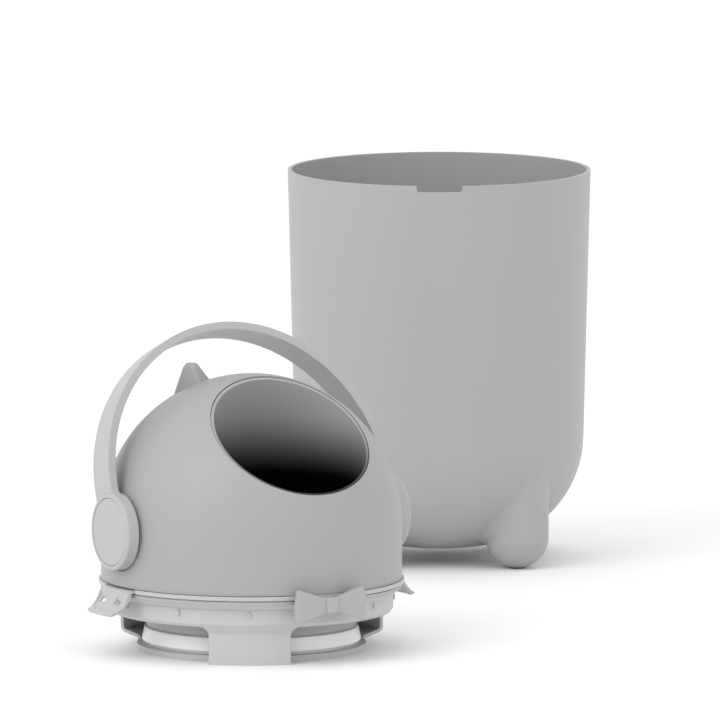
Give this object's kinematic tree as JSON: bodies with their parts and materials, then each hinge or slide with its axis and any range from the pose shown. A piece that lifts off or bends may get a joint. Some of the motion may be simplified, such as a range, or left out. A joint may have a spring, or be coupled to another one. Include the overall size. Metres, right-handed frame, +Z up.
{
  "type": "diaper pail",
  "caption": "Round nappy pail with its lifted-off head unit beside it: domed cover with slanted mouth and funnel, carrying handle, latches and film cassette basket.",
  "frame": {"origin": "centre of the overall bounding box at floor level", "axes": "+Z up; -Y is the side that faces the viewer, with the head unit in front of the pail and to its left; +X to the viewer's right"},
  "size_m": [0.4046, 0.7977, 0.32],
  "materials": {
    "shell_grey": "satin moulded polypropylene",
    "trim_grey": "satin moulded polypropylene, slightly lighter",
    "funnel_grey": "polished moulded plastic",
    "cassette_white": "white moulded plastic",
    "black_rubber": "soft black rubber",
    "seal_grey": "soft grey rubber",
    "film": "pleated polyethylene film",
    "steel": "zinc plated"
  },
  "bodies": {
    "pail": {"pail_body": "shell_grey", "foot_pads": "black_rubber"},
    "collar": {"collar_ring": "trim_grey", "rim_seal": "seal_grey", "cassette_basket": "trim_grey", "basket_screws": "steel", "latch_pin_left": "steel", "latch_pin_right": "steel", "bow_pin": "steel", "cassette_cup": "cassette_white", "cassette_cap": "trim_grey", "film_pack": "film"},
    "turn_ring": {"turn_ring": "trim_grey"},
    "dome": {"dome_shell": "shell_grey", "mouth_funnel": "funnel_grey", "funnel_floor": "funnel_grey", "floor_screws": "steel", "odour_diaphragm": "black_rubber", "diaphragm_ring": "trim_grey", "diaphragm_screws": "steel", "pivot_hub_left": "trim_grey", "pivot_hub_right": "trim_grey", "pivot_screw_left": "steel", "pivot_screw_right": "steel", "pivot_washer_left": "steel", "pivot_washer_right": "steel"},
    "handle": {"handle_band": "trim_grey", "handle_cap_left": "trim_grey", "handle_cap_right": "trim_grey"},
    "latch_left": {"latch_left": "trim_grey"},
    "latch_right": {"latch_right": "trim_grey"},
    "bow": {"bow_latch": "trim_grey"}
  },
  "joints": [
    {"name": "head_lift", "type": "slide", "parent": "pail", "child": "collar", "axis": [0, 0, 1], "range_m": [0, 0.4]},
    {"name": "dome_turn", "type": "hinge", "parent": "collar", "child": "turn_ring", "pos_m": [-0.07241, -0.26985, 0.0526], "axis": [0, 0, 1], "continuous": true},
    {"name": "dome_lift", "type": "slide", "parent": "turn_ring", "child": "dome", "axis": [0, 0, 1], "range_m": [0, 0.15]},
    {"name": "handle_swing", "type": "hinge", "parent": "dome", "child": "handle", "pos_m": [-0.07241, -0.26985, 0.101], "axis": [0.8704, 0.4924, 0], "range_deg": [-60, 60]},
    {"name": "latch_right_pull", "type": "hinge", "parent": "collar", "child": "latch_right", "pos_m": [0.02959, -0.21213, 0.0544], "axis": [0.4924, -0.8704, 0], "range_deg": [0, 15]},
    {"name": "latch_left_pull", "type": "hinge", "parent": "collar", "child": "latch_left", "pos_m": [-0.17442, -0.32756, 0.0544], "axis": [-0.4924, 0.8704, 0], "range_deg": [0, 15]},
    {"name": "bow_latch_pull", "type": "hinge", "parent": "collar", "child": "bow", "pos_m": [-0.0145, -0.3722, 0.05055], "axis": [-0.8704, -0.4924, 0], "range_deg": [0, 12]}
  ]
}
